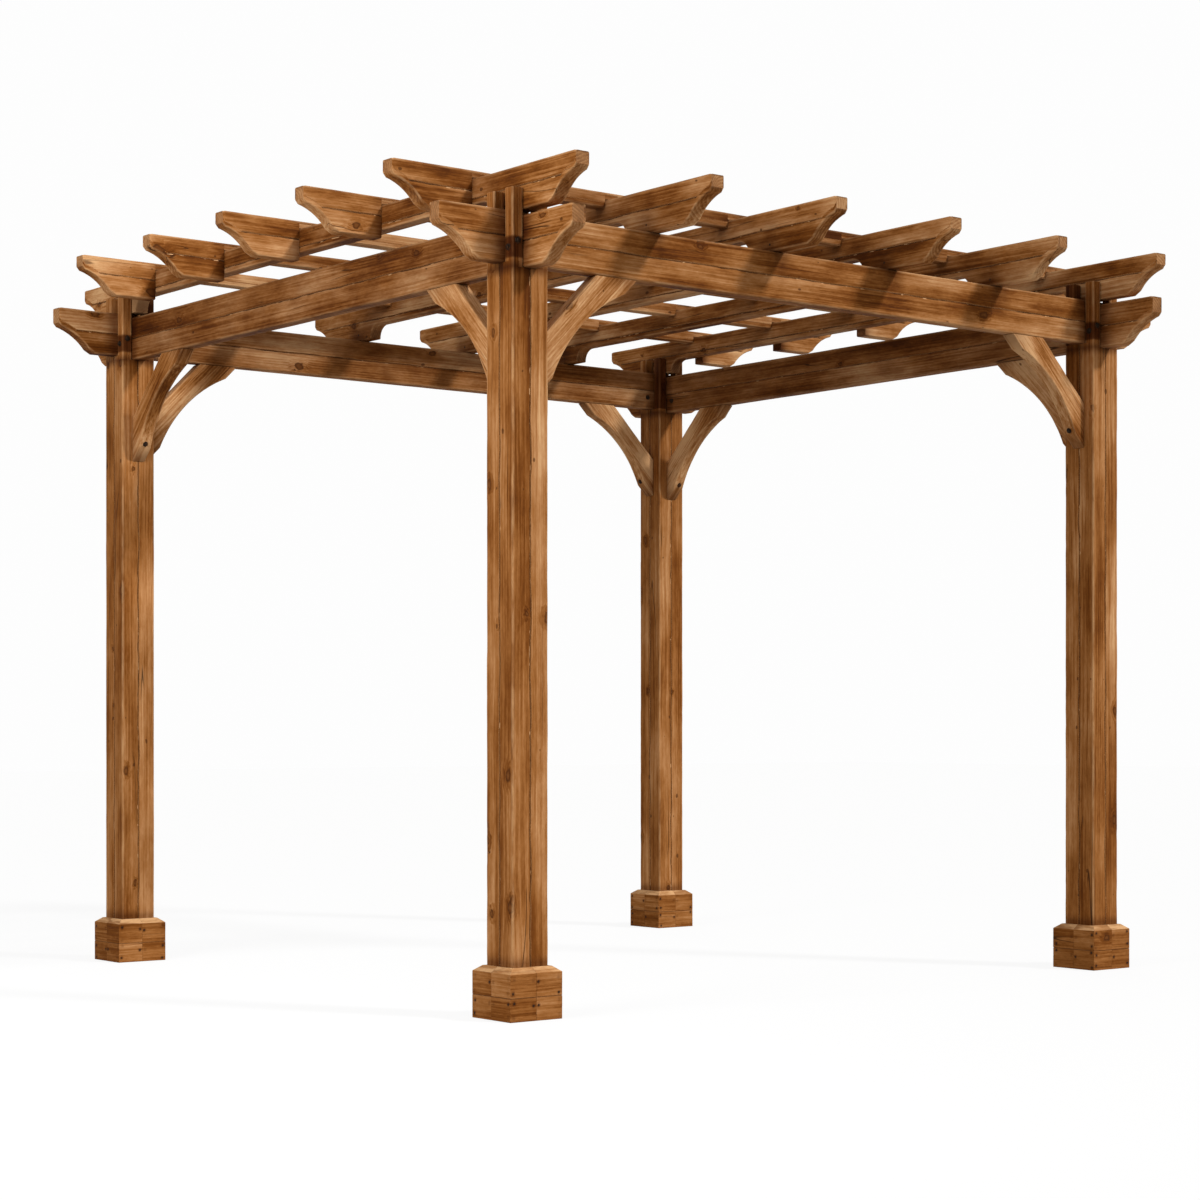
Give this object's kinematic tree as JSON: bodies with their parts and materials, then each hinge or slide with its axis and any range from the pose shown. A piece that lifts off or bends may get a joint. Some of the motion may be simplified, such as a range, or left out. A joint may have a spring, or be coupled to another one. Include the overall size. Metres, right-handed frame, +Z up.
{
  "type": "timber garden pergola",
  "caption": "Free-standing timber pergola: square posts with boxed feet, crossed beams on curved knee braces, and an open roof of rafters and slats with shaped tails.",
  "frame": {"origin": "on the ground, midway between the four posts", "axes": "+X along the front and back beams, +Y along the rafters towards the back, +Z up"},
  "size_m": [3.392, 3.232, 2.7],
  "materials": {
    "post_timber": "oiled",
    "base_boards": "oiled",
    "beam_timber": "oiled",
    "brace_timber": "oiled",
    "roof_timber": "oiled",
    "dark_fixings": "blackened"
  },
  "bodies": {
    "root": {"post_front_left": "post_timber", "post_front_right": "post_timber", "post_back_left": "post_timber", "post_back_right": "post_timber", "base_lower_front_left": "base_boards", "base_lower_front_right": "base_boards", "base_lower_back_left": "base_boards", "base_lower_back_right": "base_boards", "base_upper_front_left": "base_boards", "base_upper_front_right": "base_boards", "base_upper_back_left": "base_boards", "base_upper_back_right": "base_boards", "front_beam": "beam_timber", "back_beam": "beam_timber", "left_beam": "beam_timber", "right_beam": "beam_timber", "front_brace_left": "brace_timber", "front_brace_right": "brace_timber", "back_brace_left": "brace_timber", "back_brace_right": "brace_timber", "left_brace_front": "brace_timber", "left_brace_back": "brace_timber", "right_brace_front": "brace_timber", "right_brace_back": "brace_timber", "rafter_1": "roof_timber", "rafter_2": "roof_timber", "rafter_3": "roof_timber", "rafter_4": "roof_timber", "rafter_5": "roof_timber", "rafter_6": "roof_timber", "slat_1": "roof_timber", "slat_2": "roof_timber", "slat_3": "roof_timber", "slat_4": "roof_timber", "slat_5": "roof_timber"}
  },
  "joints": []
}
